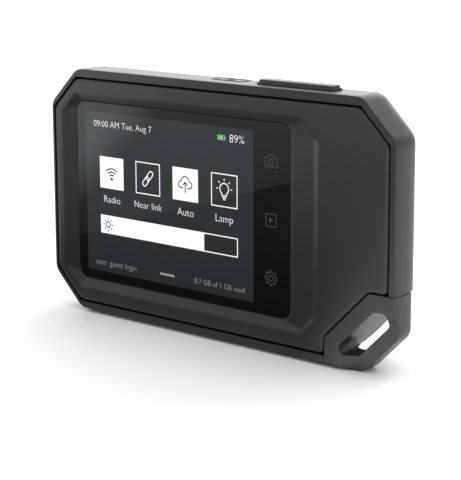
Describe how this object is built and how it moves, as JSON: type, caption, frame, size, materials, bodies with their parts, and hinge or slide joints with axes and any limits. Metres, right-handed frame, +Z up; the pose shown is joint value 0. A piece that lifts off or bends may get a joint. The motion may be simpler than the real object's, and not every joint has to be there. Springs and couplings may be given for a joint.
{
  "type": "pocket thermal camera",
  "caption": "Rugged pocket thermal camera with a recessed rear touch screen, top shutter bar and power key, corner lanyard loop and a lens panel on the far side.",
  "frame": {"origin": "centre of the foot-print, on the surface that the camera stands on", "axes": "+X along the body to the grip and the lanyard loop, +Y from the screen to the lens, +Z up"},
  "size_m": [0.138, 0.024, 0.083],
  "materials": {
    "housing": "satin black moulded plastic",
    "cover": "satin black moulded plastic",
    "loop": "satin black glass-filled plastic",
    "rubber": "matt black rubber",
    "glass": "gloss",
    "film": "clear",
    "screen": "dark display with white graphics",
    "steel": "brushed",
    "dark_steel": "black oxide",
    "brass": "turned",
    "pcb": "green solder resist",
    "chip": "moulded package",
    "foil": "foil pouch",
    "magnesium": "cast and bead blasted",
    "amber": "polyimide film",
    "white_plastic": "plain",
    "germanium": "coated, purple sheen",
    "clear": "clear moulded",
    "foam": "foam"
  },
  "bodies": {
    "camera": {"front_housing": "housing", "rear_cover": "cover", "housing_gasket": "rubber", "lanyard_corner": "loop", "lanyard_screws": "dark_steel", "housing_screws": "dark_steel", "cover_glass": "glass", "optical_adhesive": "film", "touch_sensor": "screen", "display_panel": "chip", "display_frame": "steel", "display_flex": "amber", "display_connector": "chip", "button_board": "pcb", "shutter_switch": "chip", "power_switch": "chip", "flap_pin": "steel", "usb_receptacle": "steel", "main_board": "pcb", "board_screws": "steel", "shield_can": "steel", "memory_chip": "chip", "battery_cell": "foil", "battery_pad": "foam", "battery_tray": "chip", "battery_connector": "white_plastic", "battery_lead": "amber", "chassis": "magnesium", "sensor_board": "pcb", "thermal_sensor": "chip", "core_housing": "magnesium", "lens_barrel": "dark_steel", "lens_retainer": "dark_steel", "thermal_lens": "germanium", "lens_seal": "rubber", "flag_motor": "steel", "sensor_bracket": "chip", "camera_module": "chip", "camera_window": "clear", "lamp_board": "pcb", "lamp_led": "white_plastic", "lamp_lens": "clear", "optics_plate": "housing", "antenna": "amber", "tripod_insert": "brass"},
    "shutter_key": {"shutter_button": "rubber"},
    "shutter_contact": {"shutter_plunger": "white_plastic"},
    "power_key": {"power_button": "housing"},
    "power_contact": {"power_plunger": "white_plastic"},
    "flap": {"usb_flap": "rubber"},
    "flag": {"calibration_flag": "dark_steel"}
  },
  "joints": [
    {"name": "shutter_press", "type": "slide", "parent": "camera", "child": "shutter_key", "axis": [0, 0, -1], "range_m": [0, 0.0005], "stiffness_N_per_m": 4000, "springref_m": -0.0003},
    {"name": "shutter_contact_travel", "type": "slide", "parent": "camera", "child": "shutter_contact", "axis": [0, 0, -1], "range_m": [0, 0.0005]},
    {"name": "power_press", "type": "slide", "parent": "camera", "child": "power_key", "axis": [0, 0, -1], "range_m": [0, 0.0005], "stiffness_N_per_m": 4000, "springref_m": -0.0003},
    {"name": "power_contact_travel", "type": "slide", "parent": "camera", "child": "power_contact", "axis": [0, 0, -1], "range_m": [0, 0.0005]},
    {"name": "usb_flap_hinge", "type": "hinge", "parent": "camera", "child": "flap", "pos_m": [-0.0669, -0.0048, 0.03325], "axis": [0, -1, 0], "range_deg": [0, 90]},
    {"name": "calibration_swing", "type": "hinge", "parent": "camera", "child": "flag", "pos_m": [-0.0335, 0.0028, 0.0445], "axis": [0, 1, 0], "range_deg": [0, 62]}
  ],
  "couplings": [
    {"joint": "shutter_contact_travel", "follows": "shutter_press", "ratio": 1},
    {"joint": "power_contact_travel", "follows": "power_press", "ratio": 1}
  ]
}
